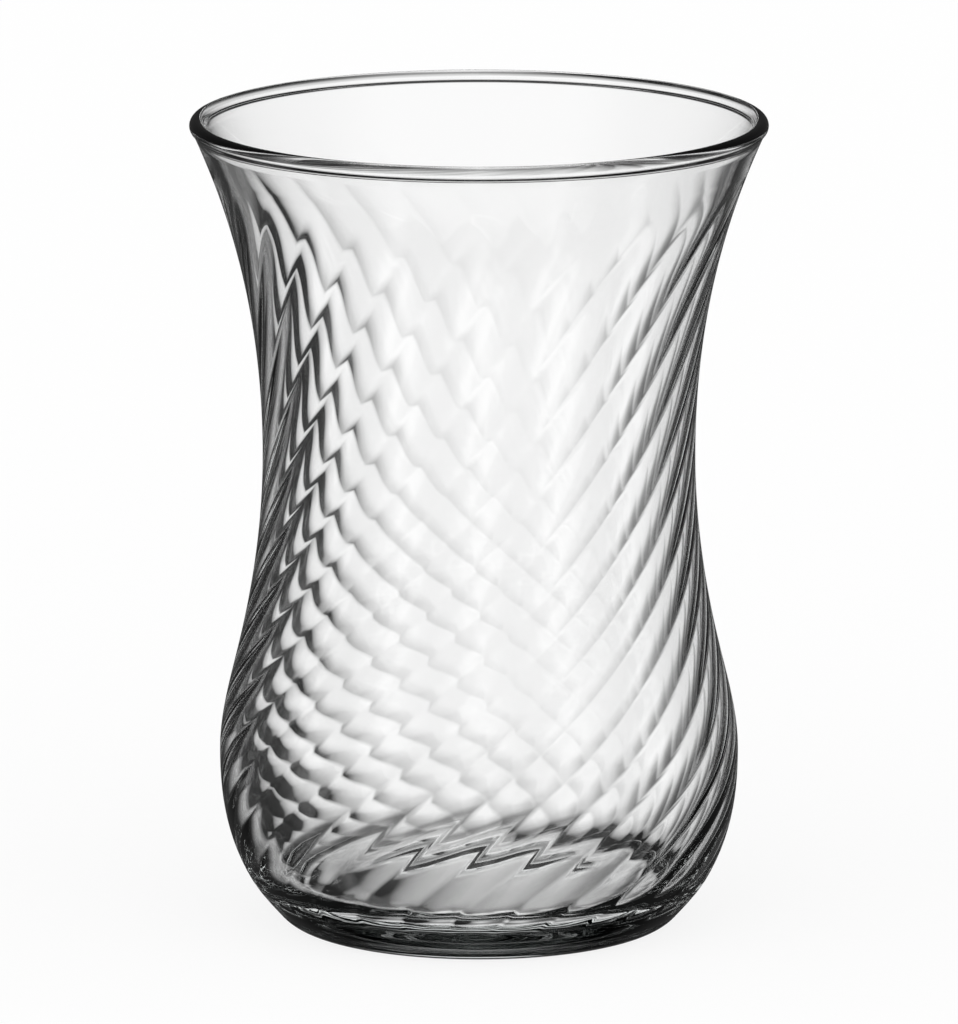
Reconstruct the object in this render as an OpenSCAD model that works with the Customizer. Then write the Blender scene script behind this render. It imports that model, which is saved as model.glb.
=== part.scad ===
// Chai glass: a waisted tea glass, one body of clear glass with twisted optic ribs
// inside. It stands on z = 0 and its axis is the z axis. All lengths are millimetres.

/* [Whole glass] */
// Height from the table to the top of the rim
height = 88; // [80:0.5:120]
// Diameter over the rim bead
rim_d = 62; // [54:0.5:76]

/* [Foot] */
// Width of the flat ring that the glass rests on
foot_w = 3.6; // [1.5:0.1:8]
// Rise of the hollow underside at its middle
push_h = 0.6; // [0.2:0.1:2]
// Height of the rounded heel
heel_h = 1.35; // [0.8:0.05:2.5]
// Diameter at the top of the heel
heel_d = 43.3; // [38:0.1:47]
// Lean of the wall above the heel, degrees from vertical
heel_lean = 42.2; // [34:0.2:52]
// Depth of the fine seam above the heel
seam_deep = 0.15; // [0.05:0.05:0.4]
// Height of that seam
seam_h = 0.4; // [0.2:0.05:1]

/* [Body] */
// Height of the cheek, low on the bowl
cheek_h = 5.3; // [4.2:0.1:7.5]
// Diameter at the cheek
cheek_d = 49.6; // [46:0.1:53]
// Lean of the wall at the cheek, degrees from vertical
cheek_lean = 29.8; // [20:0.2:38]
// Height of the widest part of the bowl
bulge_h = 19; // [15:0.1:24]
// Diameter at the widest part of the bowl
bulge_d = 55.9; // [53:0.1:64]
// Height of the shoulder, between bowl and waist
shoulder_h = 30.2; // [26:0.1:38]
// Diameter at the shoulder
shoulder_d = 51.9; // [48:0.1:55]
// Inward lean of the wall at the shoulder, degrees from vertical
shoulder_lean = 13.6; // [6:0.1:22]
// Height of the waist
waist_h = 51.5; // [44:0.1:62]
// Diameter at the waist
waist_d = 46.5; // [38:0.1:52]

/* [Rim] */
// Thickness of the rounded bead along the rim
bead_t = 1.6; // [1.5:0.05:3]
// How far the bead stands out past the wall
bead_swell = 0.08; // [0.04:0.01:0.2]
// Outward lean of the wall at the rim, degrees from vertical
rim_lean = 25; // [10:0.5:35]

/* [Wall and floor] */
// Wall thickness below the rim bead
wall_rim = 1.3; // [0.9:0.05:1.4]
// Wall thickness at the waist
wall_waist = 1.8; // [1:0.05:4]
// Wall thickness at the widest part
wall_bulge = 1.9; // [1.2:0.05:4.5]
// Wall thickness at the cheek
wall_cheek = 2.8; // [1.5:0.05:6]
// Thickness of the glass under the middle of the floor
floor_t = 4.7; // [3:0.1:8]
// Diameter of the flat middle of the floor
floor_d = 33; // [14:0.5:38]
// Height at which the wall starts to curve into the floor
corner_h = 10.2; // [10:0.1:20]
// Fullness of the curve from wall to floor, as a share
corner_full_share = 0.7; // [0.35:0.05:0.85]

/* [Optic ribs] */
// Number of twisted ribs round the inside
ribs = 26; // [12:1:40]
// Depth of the flutes between the ribs
rib_deep = 0.1; // [0.04:0.02:0.5]
// How sharp the crests are, from 0 for a plain wave to 1 for an edge
crest_sharp_share = 0.8; // [0:0.1:1]
// Turn of a rib in the lower part, degrees for the height of the glass
twist_low = 244; // [0:2:400]
// Turn of a rib in the upper part, degrees for the height of the glass
twist_high = 136; // [0:2:300]
// Where the twist starts to ease, as a share of the height
ease_from_share = 0.34; // [0.1:0.01:0.6]
// Where the twist is fully eased, as a share of the height
ease_to_share = 0.85; // [0.62:0.01:1]
// Where a rib crest stands at the foot, degrees from the front to the right
rib_start = 5.2; // [-7:0.1:7]
// Height of the smooth band between the ribs and the top of the rim
band_h = 5; // [2.5:0.5:15]
// Height below the band over which the ribs fade out
rib_fade = 9; // [2:0.5:30]
// Distance out from the flat of the floor at which the ribs reach full depth
rib_ease = 3; // [1:0.5:7]

/* [Fineness] */
// Points across each rib
rib_points = 4; // [3:1:6]
// Rows of points up the ribbed wall
wall_rows = 28; // [12:1:40]
// Rows of points round the corner into the floor
corner_rows = 7; // [4:1:12]
// Steps up the outside
body_steps = 80; // [30:1:120]
// Steps round the rim bead
bead_steps = 20; // [8:1:36]
// Steps along each of the short curves: hollow underside, heel and smooth band
short_steps = 7; // [4:1:16]

/* [Hidden] */
glass_tint = [0.78, 0.86, 0.86];
most_reach_share = 0.98; // keeps the angle where wall and bead meet defined
overlap_share = 0.04; // of the rim's wall: the step used for slopes and overruns
cheek_fall_share = 2.5; // how quickly the thick cheek thins into the bulge's wall

bead_r = bead_t / 2;
bead_z = height - bead_r;
bead_c = rim_d / 2 - bead_r;
rim_r = rim_d / 2 - bead_swell;
heel_turn = 90 - heel_lean;
heel_arc = heel_h / (1 - cos(heel_turn));
foot_r = heel_d / 2 - heel_arc * sin(heel_turn);
push_r = foot_r - foot_w;
rib_top = height - band_h;
// Where the bead's round meets the wall: distances of the two faces from its centre line
bead_out = (bead_r - bead_swell) * cos(rim_lean);
bead_in = wall_rim - bead_out;
bead_from = -90 - rim_lean + asin(min(most_reach_share, bead_out / bead_r));
bead_to = 270 - rim_lean - asin(min(most_reach_share, bead_in / bead_r));
out_end = bead_z + bead_r * sin(bead_from);
in_end = bead_z + bead_r * sin(bead_to);
overlap = wall_rim * overlap_share;
floor_r = floor_d / 2;
columns = ribs * rib_points;

// A knot of the outline is [height, radius, slope], and a smooth curve joins them
knots = [
    [heel_h, heel_d / 2, tan(heel_lean)],
    [cheek_h, cheek_d / 2, tan(cheek_lean)],
    [bulge_h, bulge_d / 2, 0],
    [shoulder_h, shoulder_d / 2, -tan(shoulder_lean)],
    [waist_h, waist_d / 2, 0],
    [bead_z, rim_r, tan(rim_lean)]
];
thick_knots = [
    [cheek_h, wall_cheek,
        (wall_bulge - wall_cheek) / (bulge_h - cheek_h) * cheek_fall_share],
    [bulge_h, wall_bulge, 0],
    [waist_h, wall_waist, 0],
    [bead_z, wall_rim, 0]
];

function ease(t) = let (u = max(0, min(1, t))) u * u * (3 - 2 * u);
function span(a, b, z) =
    let (h = b[0] - a[0], t = (z - a[0]) / h)
    (2 * t ^ 3 - 3 * t ^ 2 + 1) * a[1] + (t ^ 3 - 2 * t ^ 2 + t) * h * a[2]
    + (3 * t ^ 2 - 2 * t ^ 3) * b[1] + (t ^ 3 - t ^ 2) * h * b[2];
function curve(k, z, i = 0) =
    i >= len(k) - 2 || z <= k[i + 1][0] ? span(k[i], k[i + 1], z) : curve(k, z, i + 1);
function slope(z) = (curve(knots, z + overlap) - curve(knots, z - overlap)) / (2 * overlap);

function outside(z) = curve(knots, z);
function thick(z) = curve(thick_knots, max(z, cheek_h));
function inside(z) = outside(z) - thick(z) * sqrt(1 + slope(z) ^ 2);

// The curve from the wall into the floor
corner_r = inside(corner_h);
corner_slope = (inside(corner_h + overlap) - inside(corner_h - overlap)) / (2 * overlap);
corner_drop = (corner_h - floor_t) * corner_full_share;
corner_pts = [
    [corner_r, corner_h],
    [corner_r - corner_slope * corner_drop, corner_h - corner_drop],
    [floor_r + (corner_r - floor_r) * corner_full_share, floor_t],
    [floor_r, floor_t]
];
function corner(t) =
    (1 - t) ^ 3 * corner_pts[0] + 3 * (1 - t) ^ 2 * t * corner_pts[1]
    + 3 * (1 - t) * t ^ 2 * corner_pts[2] + t ^ 3 * corner_pts[3];

// Turn of a rib from the foot up to a height, in degrees
function turned(z) =
    let (
        low = twist_low / height,
        more = (twist_high - twist_low) / height,
        z0 = ease_from_share * height,
        w = (ease_to_share - ease_from_share) * height,
        t = max(0, min(1, (z - z0) / w))
    )
    low * z + more * (w * (t ^ 3 - t ^ 4 / 2) + max(0, z - z0 - w));

// Height of a rib's section from 0 in the flute to 1 on the crest, where u is 0 on the crest
function rib_shape(u) =
    let (x = abs(1 - 2 * (u - floor(u))))
    (1 - crest_sharp_share) * (1 - cos(180 * x)) / 2 + crest_sharp_share * x * x;

// The ribbed surface goes down the wall, round the corner and in over the floor
path = concat(
    [for (i = [0 : wall_rows - 1])
        let (z = rib_top - overlap + (corner_h - rib_top + overlap) * i / wall_rows)
        [inside(z), z]],
    [for (i = [0 : corner_rows]) corner(i / corner_rows)],
    [[floor_r / 2, floor_t]]
);
function along(i) =
    let (a = path[max(0, i - 1)], b = path[min(len(path) - 1, i + 1)], d = b - a)
    d / norm(d);
function rib_ring(i) =
    let (
        p = path[i],
        d = along(i),
        deep = rib_deep * ease((rib_top - p[1]) / rib_fade)
            * ease((p[0] - floor_r) / rib_ease),
        start = -90 + rib_start + turned(p[1])
    )
    [for (j = [0 : columns - 1])
        let (
            off = deep * (0.5 - rib_shape(j / rib_points)),
            r = p[0] - d[1] * off,
            z = p[1] + d[0] * off,
            a = start + 360 * j / columns
        )
        [r * cos(a), r * sin(a), z]];
cap_ring = [for (j = [0 : columns - 1])
    let (
        a = -90 + rib_start + turned(rib_top) + 360 * j / columns,
        r = inside(rib_top) - overlap / 4
    )
    [r * cos(a), r * sin(a), rib_top + overlap]];

// Full section of the glass below the ribs' top, with the smooth band and bead above it
module section() {
    polygon(concat(
        [for (i = [0 : short_steps - 1])
            let (x = i / short_steps)
            [push_r * x, push_h * (1 - x * x)]],
        [[push_r, 0]],
        [for (i = [0 : short_steps])
            let (a = heel_turn * i / short_steps)
            [foot_r + heel_arc * sin(a), heel_arc * (1 - cos(a))]],
        [[outside(heel_h + seam_h / 2) - seam_deep, heel_h + seam_h / 2]],
        [for (i = [0 : body_steps - 1])
            let (z = heel_h + seam_h + (out_end - heel_h - seam_h) * i / body_steps)
            [outside(z), z]],
        [for (i = [0 : bead_steps])
            let (a = bead_from + (bead_to - bead_from) * i / bead_steps)
            [bead_c + bead_r * cos(a), bead_z + bead_r * sin(a)]],
        [for (i = [1 : short_steps])
            let (z = in_end + (rib_top - in_end) * i / short_steps)
            [inside(z), z]],
        [[0, rib_top]]
    ));
}

// The room for the tea, with the ribs cut into its wall
module ribbed_cavity() {
    rings = concat([cap_ring], [for (i = [0 : len(path) - 1]) rib_ring(i)]);
    n = len(rings);
    points = concat([for (ring = rings) each ring], [[0, 0, floor_t]]);
    polyhedron(
        points = points,
        faces = concat(
            [[for (j = [0 : columns - 1]) columns - 1 - j]],
            [for (i = [0 : n - 2], j = [0 : columns - 1])
                let (k = (j + 1) % columns, a = i * columns, b = a + columns)
                each [[a + j, a + k, b + j], [a + k, b + k, b + j]]],
            [for (j = [0 : columns - 1])
                [(n - 1) * columns + j, (n - 1) * columns + (j + 1) % columns, n * columns]]
        )
    );
}

module glass_body() {
    color(glass_tint)
        difference() {
            rotate_extrude($fn = 180) section();
            ribbed_cavity();
        }
}

glass_body();
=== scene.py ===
"""A waisted tea glass of clear soda-lime glass with twisted optic ribs inside."""

import logging
import math
from dataclasses import dataclass, field
from enum import Enum
from typing import Any

import bpy
import numpy as np
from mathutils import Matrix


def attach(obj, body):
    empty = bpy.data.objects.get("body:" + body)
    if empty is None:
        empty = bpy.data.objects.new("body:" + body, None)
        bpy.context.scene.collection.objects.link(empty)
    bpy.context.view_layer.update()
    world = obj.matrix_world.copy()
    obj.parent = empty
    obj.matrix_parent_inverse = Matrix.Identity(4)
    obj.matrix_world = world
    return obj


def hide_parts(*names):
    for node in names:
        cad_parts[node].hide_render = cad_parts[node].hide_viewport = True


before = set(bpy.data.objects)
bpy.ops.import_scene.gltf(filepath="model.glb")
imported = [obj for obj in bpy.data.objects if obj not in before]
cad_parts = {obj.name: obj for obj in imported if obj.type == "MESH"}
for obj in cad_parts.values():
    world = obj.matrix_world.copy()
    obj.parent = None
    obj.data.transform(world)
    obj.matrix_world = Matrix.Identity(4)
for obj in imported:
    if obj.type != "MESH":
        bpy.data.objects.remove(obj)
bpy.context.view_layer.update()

LOG = logging.getLogger("tea_glass")
BODY = "root"
NODE = "glass_body"
MM = 0.001
ON_AXIS = 1e-7
FULL_TURN = 2 * math.pi
HALF_TURN_DEGREES = 180.0
RIGHT_ANGLE_DEGREES = 90.0

# The sRGB curve: a straight foot up to a level, then a power with an offset
SRGB_FOOT_END = 0.04045
SRGB_FOOT_SLOPE = 12.92
SRGB_OFFSET = 0.055
SRGB_POWER = 2.4


class Zone(Enum):
    """Which face of the glass a row of points lies on."""

    OUTSIDE = 0.0
    BORE = 1.0


class Step(Enum):
    """A kind of node together with the setting that tells it apart."""

    SUBTRACT = ("ShaderNodeMath", "operation", "SUBTRACT")
    MULTIPLY = ("ShaderNodeMath", "operation", "MULTIPLY")
    MULTIPLY_ADD = ("ShaderNodeMath", "operation", "MULTIPLY_ADD")
    MINIMUM = ("ShaderNodeMath", "operation", "MINIMUM")
    MAXIMUM = ("ShaderNodeMath", "operation", "MAXIMUM")
    LESS_THAN = ("ShaderNodeMath", "operation", "LESS_THAN")
    GREATER_THAN = ("ShaderNodeMath", "operation", "GREATER_THAN")
    ABSOLUTE = ("ShaderNodeMath", "operation", "ABSOLUTE")
    FRACT = ("ShaderNodeMath", "operation", "FRACT")
    POWER = ("ShaderNodeMath", "operation", "POWER")
    SQRT = ("ShaderNodeMath", "operation", "SQRT")
    COSINE = ("ShaderNodeMath", "operation", "COSINE")
    ARCSINE = ("ShaderNodeMath", "operation", "ARCSINE")
    ARCTAN2 = ("ShaderNodeMath", "operation", "ARCTAN2")
    DEGREES = ("ShaderNodeMath", "operation", "DEGREES")
    RAMP = ("ShaderNodeMapRange", "interpolation_type", "LINEAR")
    SMOOTH_RAMP = ("ShaderNodeMapRange", "interpolation_type", "SMOOTHSTEP")


def hex_to_linear(code: str) -> tuple[float, float, float, float]:
    """Turns an sRGB colour into Blender's linear one.

    Args:
        code: the colour as six hex digits after a hash sign.

    Returns:
        Red, green, blue and an alpha of one.
    """
    parts = [int(code[i : i + 2], 16) / 255 for i in (1, 3, 5)]
    red, green, blue = (
        c / SRGB_FOOT_SLOPE
        if c <= SRGB_FOOT_END
        else ((c + SRGB_OFFSET) / (1 + SRGB_OFFSET)) ** SRGB_POWER
        for c in parts
    )
    return red, green, blue, 1.0


def add_node(
    tree: bpy.types.NodeTree, kind: str, feeds: dict[Any, Any], **settings: Any
) -> bpy.types.Node:
    """Adds a node with its settings, values and links.

    Args:
        tree: the node tree that gets the node.
        kind: Blender's name for the type of node.
        feeds: a value or a socket for each input, by name or by number.
        settings: the node's own properties.

    Returns:
        The new node.
    """
    node = tree.nodes.new(kind)
    for name, value in settings.items():
        setattr(node, name, value)
    for key, value in feeds.items():
        if isinstance(value, bpy.types.NodeSocket):
            tree.links.new(value, node.inputs[key])
        else:
            node.inputs[key].default_value = value
    return node


def add_steps(
    tree: bpy.types.NodeTree, known: dict[str, Any], rows: tuple[tuple[Any, ...], ...]
) -> None:
    """Adds a table of nodes, each fed by numbers and by the nodes above it.

    Args:
        tree: the node tree that gets the nodes.
        known: the sockets that the rows may name; each row adds its own.
        rows: a name, a kind of node, and a number or a known name for each input.
    """
    for name, step, *values in rows:
        kind, setting, choice = step.value
        feeds = {i: known.get(value, value) for i, value in enumerate(values)}
        known[name] = add_node(tree, kind, feeds, **{setting: choice}).outputs[0]


def hermite(knots: list[tuple[float, float, float]], z: float) -> float:
    """Reads a smooth curve through knots.

    Args:
        knots: height, value and slope of each knot, from the lowest up.
        z: the height asked for.

    Returns:
        The curve's value at that height.
    """
    pairs = list(zip(knots, knots[1:]))
    low, high = next((p for p in pairs if z <= p[1][0]), pairs[-1])
    span = high[0] - low[0]
    t = (z - low[0]) / span
    return (
        (2 * t**3 - 3 * t**2 + 1) * low[1]
        + (t**3 - 2 * t**2 + t) * span * low[2]
        + (3 * t**2 - 2 * t**3) * high[1]
        + (t**3 - t**2) * span * high[2]
    )


@dataclass(frozen=True)
class ClearGlass:
    """Soda-lime glass, pressed and fire-polished.

    It gives the eye a clear, hard and brilliant wall. The polishing leaves a faint
    waviness and almost no haze, and a thick edge shows a trace of green from the
    iron in the sand.
    """

    ior: float = 1.52
    edge_tint: str = "#eaf1ef"
    tint_depth_mm: float = 90.0
    wave_mm: float = 11.0
    wave_height_mm: float = 0.006
    wave_detail: float = 1.0
    polish_mm: float = 2.5
    polish_detail: float = 3.0
    polish_range: tuple[float, float] = (0.4, 0.75)
    haze: float = 0.006

    def build(self) -> bpy.types.Material:
        """Makes the material.

        Returns:
            A clear glass with its wave, its polish and its edge tint.
        """
        # Clear and brilliant: only its edges, its wave and what it bends show
        material = bpy.data.materials.new("fire_polished_soda_lime_glass")
        material.use_nodes = True
        tree = material.node_tree
        tree.nodes.clear()
        place = add_node(tree, "ShaderNodeTexCoord", {}).outputs["Object"]
        wave = add_node(
            tree,
            "ShaderNodeTexNoise",
            {"Vector": place, "Scale": 1 / (self.wave_mm * MM),
             "Detail": self.wave_detail},
        )
        bump = add_node(
            tree,
            "ShaderNodeBump",
            {"Height": wave.outputs["Fac"], "Distance": self.wave_height_mm * MM},
        )
        polish = add_node(
            tree,
            "ShaderNodeTexNoise",
            {"Vector": place, "Scale": 1 / (self.polish_mm * MM),
             "Detail": self.polish_detail},
        )
        haze = add_node(
            tree,
            "ShaderNodeMapRange",
            {"Value": polish.outputs["Fac"], "From Min": self.polish_range[0],
             "From Max": self.polish_range[1], "To Min": 0.0, "To Max": self.haze},
        )
        surface = add_node(
            tree,
            "ShaderNodeBsdfPrincipled",
            {"Base Color": (1.0, 1.0, 1.0, 1.0), "IOR": self.ior,
             "Transmission Weight": 1.0, "Roughness": haze.outputs["Result"],
             "Normal": bump.outputs["Normal"]},
        )
        depth = add_node(
            tree,
            "ShaderNodeVolumeAbsorption",
            {"Color": hex_to_linear(self.edge_tint),
             "Density": 1 / (self.tint_depth_mm * MM)},
        )
        add_node(
            tree,
            "ShaderNodeOutputMaterial",
            {"Surface": surface.outputs["BSDF"], "Volume": depth.outputs["Volume"]},
        )
        return material


@dataclass(frozen=True)
class MattPaper:
    """White paper, rolled smooth and left uncoated.

    It gives the eye a plain matt ground. Most of its white is a glow for the camera
    alone, so the ground stays white and the shadow of the glass still falls on it.
    """

    colour: str = "#6c6c6c"
    glow: float = 0.85
    # Fibres are hundredths of a millimetre wide, too fine to show: drawn coarser here
    fibre_mm: float = 1.5
    fibre_detail: float = 2.0
    fibre_height_mm: float = 0.01
    roughness: tuple[float, float] = (0.7, 1.0)

    def build(self) -> bpy.types.Material:
        """Makes the material.

        Returns:
            A matt paper with its fibres and its glow.
        """
        # A plain ground without gloss, on which a soft shadow shows
        material = bpy.data.materials.new("matt_white_paper")
        material.use_nodes = True
        tree = material.node_tree
        tree.nodes.clear()
        place = add_node(tree, "ShaderNodeTexCoord", {}).outputs["Object"]
        fibre = add_node(
            tree,
            "ShaderNodeTexNoise",
            {"Vector": place, "Scale": 1 / (self.fibre_mm * MM),
             "Detail": self.fibre_detail},
        ).outputs["Fac"]
        bump = add_node(
            tree,
            "ShaderNodeBump",
            {"Height": fibre, "Distance": self.fibre_height_mm * MM},
        )
        rough = add_node(
            tree,
            "ShaderNodeMapRange",
            {"Value": fibre, "To Min": self.roughness[0], "To Max": self.roughness[1]},
        )
        paper = add_node(
            tree,
            "ShaderNodeBsdfDiffuse",
            {"Color": hex_to_linear(self.colour), "Roughness": rough.outputs["Result"],
             "Normal": bump.outputs["Normal"]},
        )
        seen = add_node(tree, "ShaderNodeLightPath", {}).outputs["Is Camera Ray"]
        level = add_node(
            tree, "ShaderNodeMath", {0: seen, 1: self.glow}, operation="MULTIPLY"
        )
        glow = add_node(
            tree, "ShaderNodeEmission", {"Strength": level.outputs["Value"]}
        )
        both = add_node(
            tree, "ShaderNodeAddShader", {0: paper.outputs["BSDF"], 1: glow.outputs[0]}
        )
        add_node(tree, "ShaderNodeOutputMaterial", {"Surface": both.outputs[0]})
        return material


@dataclass
class Outline:
    """The turned shape of the glass: its outside curve and its wall, in mm."""

    heel_h: float = 1.35
    heel_d: float = 43.3
    heel_lean: float = 42.2
    cheek_h: float = 5.3
    cheek_d: float = 49.6
    cheek_lean: float = 29.8
    bulge_h: float = 19.0
    bulge_d: float = 55.9
    shoulder_h: float = 30.2
    shoulder_d: float = 51.9
    shoulder_lean: float = 13.6
    waist_h: float = 51.5
    waist_d: float = 46.5
    bead_z: float = 87.2
    rim_r: float = 30.92
    rim_lean: float = 25.0
    wall_rim: float = 1.3
    wall_waist: float = 1.8
    wall_bulge: float = 1.9
    wall_cheek: float = 2.8
    cheek_fall: float = 2.5
    step: float = 0.05
    curve: list[tuple[float, float, float]] = field(init=False)
    wall: list[tuple[float, float, float]] = field(init=False)

    def __post_init__(self) -> None:
        """Sets the knots of the two curves."""
        lean = [math.tan(math.radians(a)) for a in
                (self.heel_lean, self.cheek_lean, self.shoulder_lean, self.rim_lean)]
        self.curve = [
            (self.heel_h, self.heel_d / 2, lean[0]),
            (self.cheek_h, self.cheek_d / 2, lean[1]),
            (self.bulge_h, self.bulge_d / 2, 0.0),
            (self.shoulder_h, self.shoulder_d / 2, -lean[2]),
            (self.waist_h, self.waist_d / 2, 0.0),
            (self.bead_z, self.rim_r, lean[3]),
        ]
        fall = (self.wall_bulge - self.wall_cheek) / (self.bulge_h - self.cheek_h)
        self.wall = [
            (self.cheek_h, self.wall_cheek, fall * self.cheek_fall),
            (self.bulge_h, self.wall_bulge, 0.0),
            (self.waist_h, self.wall_waist, 0.0),
            (self.bead_z, self.wall_rim, 0.0),
        ]

    def outside(self, z: float) -> float:
        """Returns the radius of the outside at a height."""
        return hermite(self.curve, z)

    def inside(self, z: float) -> float:
        """Returns the radius of the smooth inside at a height."""
        rise = self.outside(z + self.step) - self.outside(z - self.step)
        slope = rise / (2 * self.step)
        thick = hermite(self.wall, max(z, self.cheek_h))
        return self.outside(z) - thick * math.hypot(1.0, slope)


@dataclass
class Foot:
    """The base: a slightly hollow underside, a flat ring, a heel and a seam, in mm."""

    ring_w: float = 3.6
    push_h: float = 0.6
    seam_deep: float = 0.15
    seam_h: float = 0.4
    push_rows: int = 8
    ring_rows: int = 3
    heel_rows: int = 12
    seam_rows: int = 8

    def rows(self, outline: Outline) -> list[tuple[float, float]]:
        """Lists the points of the base, from the middle of the underside outwards.

        Args:
            outline: the curve that the heel runs up into.

        Returns:
            Radius and height of each row.
        """
        turn = math.radians(RIGHT_ANGLE_DEGREES - outline.heel_lean)
        arc = outline.heel_h / (1 - math.cos(turn))
        foot_r = outline.heel_d / 2 - arc * math.sin(turn)
        push_r = foot_r - self.ring_w
        rows = [
            (push_r * i / self.push_rows, self.push_h * (1 - (i / self.push_rows) ** 2))
            for i in range(self.push_rows)
        ]
        rows += [
            (push_r + self.ring_w * i / self.ring_rows, 0.0)
            for i in range(self.ring_rows)
        ]
        for i in range(self.heel_rows):
            angle = turn * i / self.heel_rows
            rows.append((foot_r + arc * math.sin(angle), arc * (1 - math.cos(angle))))
        for i in range(self.seam_rows):
            share = i / self.seam_rows
            z = outline.heel_h + self.seam_h * share
            groove = self.seam_deep * (1 - math.cos(FULL_TURN * share)) / 2
            rows.append((outline.outside(z) - groove, z))
        return rows


@dataclass
class Rim:
    """The fire-polished bead along the rim, a little thicker than the wall, in mm."""

    top: float = 88.0
    diameter: float = 62.0
    bead_t: float = 1.6
    swell: float = 0.08
    most_reach: float = 0.98
    bead_rows: int = 30

    def rows(self, outline: Outline) -> list[tuple[float, float]]:
        """Lists the points of the bead, from the outside over the top to the inside.

        Args:
            outline: the curve that the bead closes.

        Returns:
            Radius and height of each row.
        """
        radius = self.bead_t / 2
        lean = math.radians(outline.rim_lean)
        out = (radius - self.swell) * math.cos(lean)
        back = outline.wall_rim - out
        first = -math.pi / 2 - lean + math.asin(min(self.most_reach, out / radius))
        last = 1.5 * math.pi - lean - math.asin(min(self.most_reach, back / radius))
        middle = self.diameter / 2 - radius
        angles = [
            first + (last - first) * i / self.bead_rows
            for i in range(self.bead_rows + 1)
        ]
        return [
            (middle + radius * math.cos(a), self.top - radius + radius * math.sin(a))
            for a in angles
        ]


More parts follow.
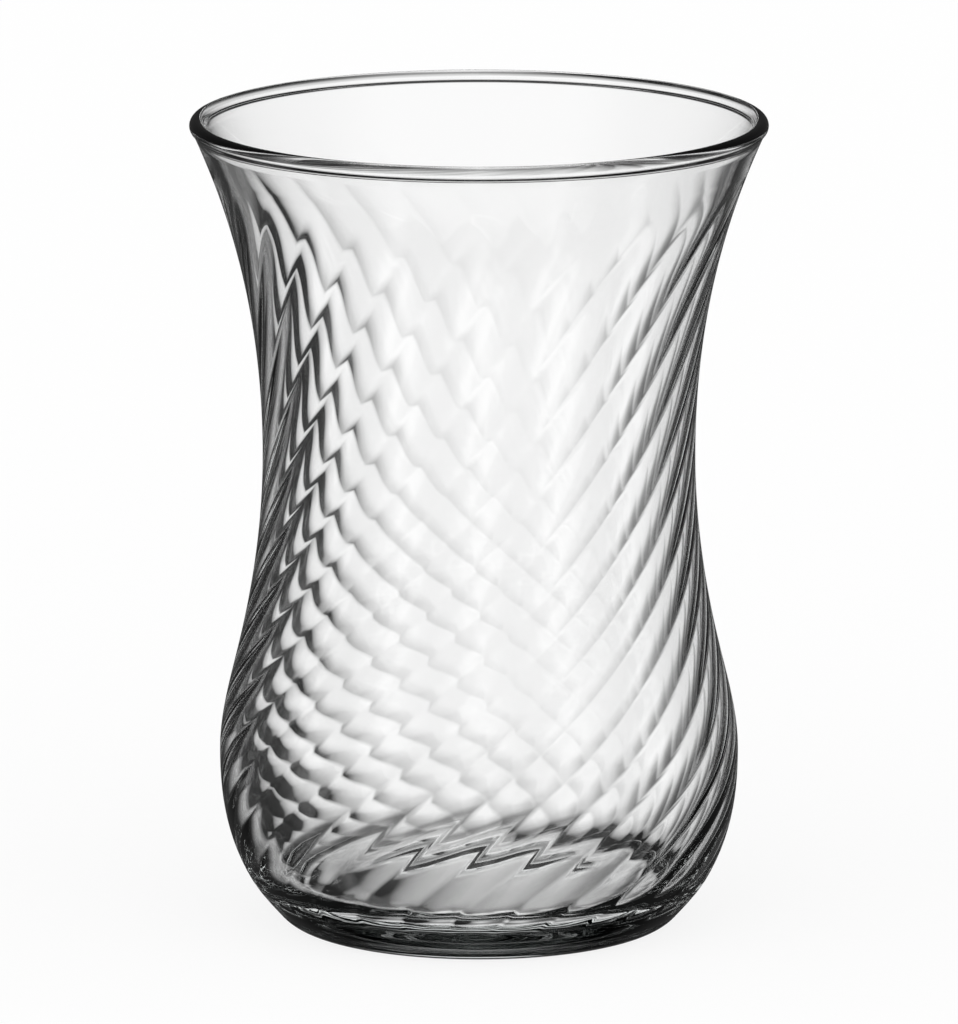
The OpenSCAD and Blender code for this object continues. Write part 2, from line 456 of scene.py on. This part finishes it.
@dataclass
class TwistedRibs:
    """Optic ribs that wind up the inside, made by one Geometry Nodes tree, in mm."""

    count: int = 26
    deep: float = 0.1
    crest_sharp: float = 0.8
    twist_low: float = 244.0
    twist_high: float = 136.0
    height: float = 88.0
    ease_from: float = 0.34
    ease_to: float = 0.85
    start: float = 5.2
    band_h: float = 5.0
    fade: float = 9.0
    floor_r: float = 16.5
    floor_ease: float = 3.0

    def inputs(self) -> dict[str, float]:
        """Lists the tree's named inputs.

        Returns:
            The value of each input: lengths in metres, angles in radians.
        """
        low = math.radians(self.twist_low) / (self.height * MM)
        high = math.radians(self.twist_high) / (self.height * MM)
        return {
            "Ribs": float(self.count),
            "Depth": self.deep * MM,
            "Crest sharpness": self.crest_sharp,
            "Turn per metre, low": low,
            "Turn per metre, added above": high - low,
            "Ease from": self.ease_from * self.height * MM,
            "Ease to": self.ease_to * self.height * MM,
            "First crest": math.radians(self.start - RIGHT_ANGLE_DEGREES),
            "Band": (self.height - self.band_h) * MM,
            "Fade": self.fade * MM,
            "Floor radius": self.floor_r * MM,
            "Floor ease": self.floor_ease * MM,
        }

    def tree(self, material: bpy.types.Material) -> bpy.types.NodeTree:
        """Builds the tree that winds the ribs into a smooth blank.

        Args:
            material: what the finished surface is made of.

        Returns:
            The tree, with its inputs named.
        """
        tree = bpy.data.node_groups.new("twisted_ribs", "GeometryNodeTree")
        tree.interface.new_socket(
            "Geometry", in_out="INPUT", socket_type="NodeSocketGeometry"
        )
        for name, value in self.inputs().items():
            socket = tree.interface.new_socket(
                name, in_out="INPUT", socket_type="NodeSocketFloat"
            )
            socket.default_value = value
        tree.interface.new_socket(
            "Geometry", in_out="OUTPUT", socket_type="NodeSocketGeometry"
        )
        given = add_node(tree, "NodeGroupInput", {}).outputs
        stored = {
            name: add_node(
                tree, "GeometryNodeInputNamedAttribute", {"Name": name}, data_type=kind
            ).outputs["Attribute"]
            for name, kind in (
                ("bore", "FLOAT"),
                ("share", "FLOAT"),
                ("profile_normal", "FLOAT_VECTOR"),
            )
        }
        point = add_node(tree, "GeometryNodeInputPosition", {}).outputs["Position"]
        parts = add_node(tree, "ShaderNodeSeparateXYZ", {"Vector": point}).outputs
        known = {socket.name: socket for socket in (*given, *parts)} | stored
        add_steps(tree, known, (
            # How far a rib has turned at this height; the outside takes the band's turn
            ("low part", Step.MINIMUM, "Z", "Band"),
            ("below", Step.SUBTRACT, "Band", "low part"),
            ("inside only", Step.MULTIPLY, "below", "bore"),
            ("height", Step.SUBTRACT, "Band", "inside only"),
            ("ease width", Step.SUBTRACT, "Ease to", "Ease from"),
            ("t", Step.RAMP, "height", "Ease from", "Ease to"),
            ("t cubed", Step.POWER, "t", 3.0),
            ("t to the fourth", Step.MULTIPLY, "t cubed", "t"),
            ("eased share", Step.MULTIPLY_ADD, "t to the fourth", -0.5, "t cubed"),
            ("over", Step.SUBTRACT, "height", "Ease to"),
            ("above", Step.MAXIMUM, "over", 0.0),
            ("added height", Step.MULTIPLY_ADD, "ease width", "eased share", "above"),
            ("turn", Step.MULTIPLY_ADD, "Turn per metre, low", "height", "First crest"),
            ("angle", Step.MULTIPLY_ADD,
             "Turn per metre, added above", "added height", "turn"),
            # The rib's section: 1 on the crest, 0 in the flute
            ("ribs passed", Step.MULTIPLY, "share", "Ribs"),
            ("place", Step.FRACT, "ribs passed"),
            ("to crest", Step.MULTIPLY_ADD, "place", -2.0, 1.0),
            ("x", Step.ABSOLUTE, "to crest"),
            ("half turn", Step.MULTIPLY, "x", math.pi),
            ("cosine", Step.COSINE, "half turn"),
            ("wave", Step.MULTIPLY_ADD, "cosine", -0.5, 0.5),
            ("edge", Step.MULTIPLY, "x", "x"),
            ("sharper", Step.SUBTRACT, "edge", "wave"),
            ("crest", Step.MULTIPLY_ADD, "Crest sharpness", "sharper", "wave"),
            # How deep it is here: it fades out under the band and over the floor
            ("x squared", Step.MULTIPLY, "X", "X"),
            ("radius squared", Step.MULTIPLY_ADD, "Y", "Y", "x squared"),
            ("radius", Step.SQRT, "radius squared"),
            ("past floor", Step.SUBTRACT, "radius", "Floor radius"),
            ("floor share", Step.SMOOTH_RAMP, "past floor", 0.0, "Floor ease"),
            ("top share", Step.SMOOTH_RAMP, "below", 0.0, "Fade"),
            ("both shares", Step.MULTIPLY, "floor share", "top share"),
            ("bore depth", Step.MULTIPLY, "Depth", "bore"),
            ("deep", Step.MULTIPLY, "bore depth", "both shares"),
            ("from middle", Step.SUBTRACT, 0.5, "crest"),
            ("offset", Step.MULTIPLY, "deep", "from middle"),
        ))
        push = add_node(
            tree,
            "ShaderNodeVectorMath",
            {0: stored["profile_normal"], "Scale": known["offset"]},
            operation="SCALE",
        ).outputs["Vector"]
        moved = add_node(
            tree, "ShaderNodeVectorMath", {0: point, 1: push}, operation="ADD"
        ).outputs["Vector"]
        wound = add_node(
            tree,
            "ShaderNodeVectorRotate",
            {"Vector": moved, "Angle": known["angle"]},
            rotation_type="Z_AXIS",
        ).outputs["Vector"]
        placed = add_node(
            tree,
            "GeometryNodeSetPosition",
            {"Geometry": given["Geometry"], "Position": wound},
        ).outputs["Geometry"]
        whole = add_node(
            tree, "GeometryNodeRealizeInstances", {"Geometry": placed}
        ).outputs["Geometry"]
        dressed = add_node(
            tree, "GeometryNodeSetMaterial", {"Geometry": whole, "Material": material}
        ).outputs["Geometry"]
        add_node(tree, "NodeGroupOutput", {"Geometry": dressed})
        return tree


@dataclass
class TeaGlass:
    """The whole glass: one body turned from its outline, with ribs wound inside."""

    outline: Outline = field(default_factory=Outline)
    foot: Foot = field(default_factory=Foot)
    rim: Rim = field(default_factory=Rim)
    ribs: TwistedRibs = field(default_factory=TwistedRibs)
    floor_t: float = 4.7
    floor_d: float = 33.0
    corner_h: float = 10.2
    corner_full: float = 0.7
    points_per_rib: int = 12
    outside_rows: int = 78
    band_rows: int = 10
    wall_rows: int = 104
    corner_rows: int = 30
    floor_rows: int = 6

    def corner(self) -> list[tuple[float, float]]:
        """Lists the curve from the wall into the floor.

        Returns:
            Radius and height of each row, from the wall down.
        """
        curve = self.outline
        top, step, floor_r = self.corner_h, curve.step, self.floor_d / 2
        wall_r = curve.inside(top)
        slope = (curve.inside(top + step) - curve.inside(top - step)) / (2 * step)
        drop = (top - self.floor_t) * self.corner_full
        hold = np.array([
            (wall_r, top),
            (wall_r - slope * drop, top - drop),
            (floor_r + (wall_r - floor_r) * self.corner_full, self.floor_t),
            (floor_r, self.floor_t),
        ])
        rows = []
        for i in range(self.corner_rows + 1):
            t = i / self.corner_rows
            s = 1 - t
            mix = np.array([s**3, 3 * s**2 * t, 3 * s * t**2, t**3])
            rows.append(tuple(mix @ hold))
        return rows

    def profile(self) -> list[tuple[float, float, Zone]]:
        """Lists the whole section, from under the foot over the rim to the floor.

        Returns:
            Radius, height and zone of each row.
        """
        bead = self.rim.rows(self.outline)
        start = self.outline.heel_h + self.foot.seam_h
        heights = [
            start + (bead[0][1] - start) * i / self.outside_rows
            for i in range(self.outside_rows)
        ]
        outer = self.foot.rows(self.outline)
        outer += [(self.outline.outside(z), z) for z in heights]
        outer += bead
        band = self.ribs.height - self.ribs.band_h
        for i in range(1, self.band_rows):
            z = bead[-1][1] + (band - bead[-1][1]) * i / self.band_rows
            outer.append((self.outline.inside(z), z))
        inner = []
        for i in range(self.wall_rows):
            z = band + (self.corner_h - band) * i / self.wall_rows
            inner.append((self.outline.inside(z), z))
        inner += self.corner()
        inner += [
            (self.floor_d / 2 * (1 - i / self.floor_rows), self.floor_t)
            for i in range(1, self.floor_rows + 1)
        ]
        rows = [(r, z, Zone.OUTSIDE) for r, z in outer]
        return rows + [(r, z, Zone.BORE) for r, z in inner]

    def blank(self) -> bpy.types.Object:
        """Turns the section into a smooth closed body that stores where each point is.

        Returns:
            The blank, on which the ribs are still to be wound.
        """
        rows = self.profile()
        flat = np.array([(r, z) for r, z, _ in rows]) * MM
        along = np.gradient(flat, axis=0)
        along /= np.linalg.norm(along, axis=1)[:, None]
        columns = self.ribs.count * self.points_per_rib
        shares = np.arange(columns) / columns
        cos, sin = np.cos(FULL_TURN * shares), np.sin(FULL_TURN * shares)
        points: list[tuple[float, float, float]] = []
        normals: list[tuple[float, float, float]] = []
        first: list[int] = []
        for (r, z), (step_r, step_z) in zip(flat, along):
            first.append(len(points))
            if r < ON_AXIS:
                points.append((0.0, 0.0, float(z)))
                normals.append((0.0, 0.0, 0.0))
                continue
            points += zip((r * cos).tolist(), (r * sin).tolist(), [float(z)] * columns)
            normals += zip(
                (-step_z * cos).tolist(), (-step_z * sin).tolist(),
                [float(step_r)] * columns,
            )
        sizes = np.diff(first + [len(points)])
        faces: list[tuple[int, ...]] = []
        for i in range(len(first) - 1):
            a, b = first[i], first[i + 1]
            for j in range(columns):
                k = (j + 1) % columns
                if sizes[i] == 1:
                    faces.append((a, b + k, b + j))
                elif sizes[i + 1] == 1:
                    faces.append((a + j, a + k, b))
                else:
                    faces.append((a + j, a + k, b + k, b + j))
        mesh = bpy.data.meshes.new("glass_blank")
        mesh.from_pydata(points, [], faces)
        zones = np.repeat([zone.value for _, _, zone in rows], sizes)
        share_rows = [shares if size > 1 else np.zeros(1) for size in sizes]
        mesh.attributes.new("bore", "FLOAT", "POINT").data.foreach_set(
            "value", zones.astype(np.float32))
        mesh.attributes.new("share", "FLOAT", "POINT").data.foreach_set(
            "value", np.concatenate(share_rows).astype(np.float32))
        mesh.attributes.new("profile_normal", "FLOAT_VECTOR", "POINT").data.foreach_set(
            "vector", np.array(normals, np.float32).ravel())
        blank = bpy.data.objects.new("glass_blank", mesh)
        bpy.context.scene.collection.objects.link(blank)
        return blank

    def build(self, finish: ClearGlass) -> bpy.types.Object:
        """Makes the glass and sets it in place of its CAD node.

        Args:
            finish: the glass it is made of.

        Returns:
            The finished piece.
        """
        blank = self.blank()
        tree = self.ribs.tree(finish.build())
        modifier = blank.modifiers.new("ribs", "NODES")
        modifier.node_group = tree
        wanted = self.ribs.inputs()
        for item in tree.interface.items_tree:
            if item.in_out == "INPUT" and item.name in wanted:
                modifier[item.identifier] = wanted[item.name]
        depsgraph = bpy.context.evaluated_depsgraph_get()
        mesh = bpy.data.meshes.new_from_object(blank.evaluated_get(depsgraph))
        bpy.data.objects.remove(blank)
        for name in ("bore", "share", "profile_normal"):
            mesh.attributes.remove(mesh.attributes[name])
        mesh.shade_smooth()
        mesh.name = "twisted_tea_glass"
        glass = bpy.data.objects.new("twisted_tea_glass", mesh)
        bpy.context.scene.collection.objects.link(glass)
        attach(glass, BODY)
        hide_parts(NODE)
        LOG.info("glass: %d points, %d faces", len(mesh.vertices), len(mesh.polygons))
        return glass


@dataclass
class Studio:
    """A white floor and white surround, with dark flags that only the glass sees.

    The flags leave a white window straight behind the glass for the photograph's
    view and for each eighth of a turn from it, and the room above is dark.
    """

    paper: MattPaper = field(default_factory=MattPaper)
    floor_size: float = 6.0
    floor_drop: float = 0.00005
    bounces: int = 24
    mirror_bounces: int = 12
    windows: int = 8
    window: tuple[tuple[float, float], ...] = (
        (-22.5, 0.03), (-8.7, 0.04), (-7.6, 0.4), (-6.0, 0.68), (-4.0, 0.88),
        (-2.0, 0.98), (0.0, 1.0), (5.0, 1.0), (7.5, 0.8), (10.0, 0.5),
        (13.0, 0.3), (18.0, 0.15), (22.5, 0.03),
    )
    rise: tuple[tuple[float, float], ...] = (
        (-90.0, 1.0), (-53.0, 1.0), (-47.0, 0.8), (-41.0, 0.4), (-35.0, 0.28),
        (-30.0, 0.4), (-26.0, 0.6), (-22.0, 0.68), (-19.0, 0.75), (-17.0, 0.85),
        (-15.0, 0.96), (-13.5, 1.0), (-1.0, 1.0), (2.0, 0.8), (4.0, 0.25), (5.0, 0.1),
        (7.0, 0.01), (90.0, 0.01),
    )
    lean_at: float = -11.5
    lean_above: float = 2.0
    lean_below: float = 3.0
    lean_right: float = -1.0
    lean_left: float = 1.0
    next_window_top: tuple[float, float] = (-15.0, -12.5)
    next_window_shade: float = 0.97
    shade: float = 0.006
    window_low: tuple[float, float] = (-56.0, -49.0)
    window_high: tuple[float, float] = (4.0, 10.0)
    mirrored_behind: float = 0.05
    mirrored_front: float = 1.0
    mirrored_low: tuple[float, float] = (-60.0, -30.0)
    front: tuple[float, float] = (95.0, 140.0)

    @property
    def spacing(self) -> float:
        """Returns the degrees from one window's middle to the next one's."""
        return 2 * HALF_TURN_DEGREES / self.windows

    def floor(self) -> bpy.types.Object:
        """Lays the pale floor.

        Returns:
            The floor, which isn't part of the object.
        """
        half = self.floor_size / 2
        mesh = bpy.data.meshes.new("floor")
        mesh.from_pydata(
            [(x, y, -self.floor_drop) for x, y in
             ((-half, -half), (half, -half), (half, half), (-half, half))],
            [],
            [(0, 1, 2, 3)],
        )
        mesh.materials.append(self.paper.build())
        floor = bpy.data.objects.new("floor", mesh)
        floor.visible_transmission = False
        floor.visible_glossy = False
        bpy.context.scene.collection.objects.link(floor)
        LOG.info("floor: %.1f m of white paper", self.floor_size)
        return floor

    def directions(self, tree: bpy.types.NodeTree, known: dict[str, Any]) -> None:
        """Works out where a ray points: across the nearest window, and how high.

        Args:
            tree: the surround's nodes.
            known: the parts of the ray's direction; each result is added.
        """
        spacing = self.spacing
        add_steps(tree, known, (
            ("azimuth in radians", Step.ARCTAN2, "X", "Y"),
            ("azimuth", Step.DEGREES, "azimuth in radians"),
            ("turn", Step.ABSOLUTE, "azimuth"),
            ("tilt in radians", Step.ARCSINE, "Z"),
            ("tilt", Step.DEGREES, "tilt in radians"),
            # Degrees off the middle of the nearest window, whose sides lean
            ("windows passed", Step.MULTIPLY_ADD, "azimuth", 1 / spacing, 0.5),
            ("place", Step.FRACT, "windows passed"),
            ("off", Step.MULTIPLY_ADD, "place", spacing, -spacing / 2),
            ("above", Step.SUBTRACT, "tilt", self.lean_at),
            ("not too high", Step.MINIMUM, "above", self.lean_above),
            ("lean", Step.MAXIMUM, "not too high", -self.lean_below),
            ("right side", Step.MULTIPLY_ADD, "lean", self.lean_right, "off"),
            ("right", Step.MAXIMUM, "right side", 0.0),
            ("left side", Step.MULTIPLY_ADD, "lean", self.lean_left, "off"),
            ("left", Step.MINIMUM, "left side", 0.0),
            ("is right", Step.GREATER_THAN, "off", 0.0),
            ("is left", Step.SUBTRACT, 1.0, "is right"),
            ("left part", Step.MULTIPLY, "left", "is left"),
            ("leant", Step.MULTIPLY_ADD, "right", "is right", "left part"),
            ("across", Step.MULTIPLY_ADD, "leant", 1 / spacing, 0.5),
            ("up", Step.MULTIPLY_ADD, "tilt", 1 / HALF_TURN_DEGREES, 0.5),
        ))

    def levels(self, tree: bpy.types.NodeTree, known: dict[str, Any]) -> None:
        """Reads how bright a window is there, from its two curves.

        Args:
            tree: the surround's nodes.
            known: where the ray points; the two levels are added.
        """
        for name, curve, width in (
            ("across", self.window, self.spacing), ("up", self.rise, HALF_TURN_DEGREES)
        ):
            ramp = add_node(tree, "ShaderNodeValToRGB", {"Fac": known[name]})
            points = ramp.color_ramp.elements
            points.remove(points[0])
            points[0].position = 0.0
            for place, _ in curve[1:]:
                points.new(0.5 + place / width)
            for point, (_, level) in zip(points, curve):
                point.color = (level, level, level, 1.0)
            known[name + " level"] = ramp.outputs["Color"]

    def flags(self, tree: bpy.types.NodeTree, known: dict[str, Any]) -> None:
        """Puts the windows and the flags between them together.

        Args:
            tree: the surround's nodes.
            known: where the ray points and the windows' levels; what the glass lets
                through and what it mirrors are added.
        """
        spacing = self.spacing
        mirrored_gain = self.mirrored_front - self.mirrored_behind
        add_steps(tree, known, (
            # The window behind the glass has its own levels from the floor up
            ("is main", Step.LESS_THAN, "turn", spacing / 2),
            ("main", Step.MULTIPLY, "is main", "up level"),
            # The two next to it end below the photograph's line of sight
            ("main or next", Step.LESS_THAN, "turn", spacing / 2 + spacing),
            ("is next", Step.SUBTRACT, "main or next", "is main"),
            ("over top", Step.SMOOTH_RAMP, "tilt", *self.next_window_top),
            ("shaded", Step.MULTIPLY, "is next", "over top"),
            ("lit", Step.MULTIPLY_ADD, "shaded", -self.next_window_shade, 1.0),
            ("high", Step.SMOOTH_RAMP, "tilt", *self.window_high),
            ("not high", Step.SUBTRACT, 1.0, "high"),
            ("other", Step.MULTIPLY, "lit", "not high"),
            ("is other", Step.SUBTRACT, 1.0, "is main"),
            ("both", Step.MULTIPLY_ADD, "is other", "other", "main"),
            ("window", Step.MULTIPLY, "across level", "both"),
            ("flags", Step.MAXIMUM, "window", self.shade),
            # Near the floor all is white
            ("not low", Step.SMOOTH_RAMP, "tilt", *self.window_low),
            ("low", Step.SUBTRACT, 1.0, "not low"),
            ("through", Step.MULTIPLY_ADD, "not low", "flags", "low"),
            # The glass mirrors a white room in front of it and a dim one behind
            ("in front", Step.SMOOTH_RAMP, "turn", *self.front),
            ("mirrored round", Step.MULTIPLY_ADD,
             "in front", mirrored_gain, self.mirrored_behind),
            # Steeply down the glass mirrors only its own shadow on the floor
            ("over shadow", Step.SMOOTH_RAMP, "tilt", *self.mirrored_low),
            ("mirrored", Step.MULTIPLY, "mirrored round", "over shadow"),
        ))

    def surround(self) -> bpy.types.World:
        """Lights the scene evenly in white and stands the flags round it.

        Returns:
            The white surround.
        """
        world = bpy.data.worlds.new("white_surround")
        world.use_nodes = True
        bpy.context.scene.world = world
        tree = world.node_tree
        tree.nodes.clear()
        way = add_node(tree, "ShaderNodeTexCoord", {}).outputs["Generated"]
        parts = add_node(tree, "ShaderNodeSeparateXYZ", {"Vector": way}).outputs
        known = {socket.name: socket for socket in parts}
        self.directions(tree, known)
        self.levels(tree, known)
        self.flags(tree, known)
        path = add_node(tree, "ShaderNodeLightPath", {}).outputs
        # A ray through sharp glass counts as both kinds, so the second mix is the last
        light: Any = 1.0
        for ray, seen in (
            ("Is Glossy Ray", "mirrored"), ("Is Transmission Ray", "through")
        ):
            light = add_node(
                tree,
                "ShaderNodeMix",
                {"Factor": path[ray], "A": light, "B": known[seen]},
            ).outputs["Result"]
        ground = add_node(
            tree, "ShaderNodeBackground", {"Color": (1, 1, 1, 1), "Strength": light}
        )
        add_node(tree, "ShaderNodeOutputWorld", {"Surface": ground.outputs[0]})
        LOG.info("surround: %d windows", self.windows)
        return world

    def build(self) -> None:
        """Sets up the floor, the surround and the render's light paths."""
        self.floor()
        self.surround()
        cycles = bpy.context.scene.cycles
        cycles.max_bounces = self.bounces
        cycles.transmission_bounces = self.bounces
        cycles.glossy_bounces = self.mirror_bounces
        bpy.context.scene.view_settings.view_transform = "Standard"


@dataclass(frozen=True)
class Viewpoint:
    """The photograph's camera: a long lens, a little above the rim."""

    distance: float = 1.46958
    height: float = 0.34454
    tilt: float = 11.5238
    lens: float = 490.22
    sensor: float = 36.0

    def build(self) -> bpy.types.Object:
        """Makes the scene's camera.

        Returns:
            The camera.
        """
        data = bpy.data.cameras.new("camera")
        data.lens = self.lens
        data.sensor_width = self.sensor
        camera = bpy.data.objects.new("camera", data)
        camera.location = (0.0, -self.distance, self.height)
        lean = math.radians(RIGHT_ANGLE_DEGREES - self.tilt)
        camera.rotation_euler = (lean, 0.0, 0.0)
        bpy.context.scene.collection.objects.link(camera)
        bpy.context.scene.camera = camera
        LOG.info("camera: %.2f m off, tilted %.1f degrees", self.distance, self.tilt)
        return camera


def main() -> None:
    """Builds the glass, the studio and the camera."""
    logging.basicConfig(level=logging.INFO, format="%(name)s: %(message)s")
    TeaGlass().build(ClearGlass())
    Studio().build()
    Viewpoint().build()


if __name__ == "__main__":
    main()
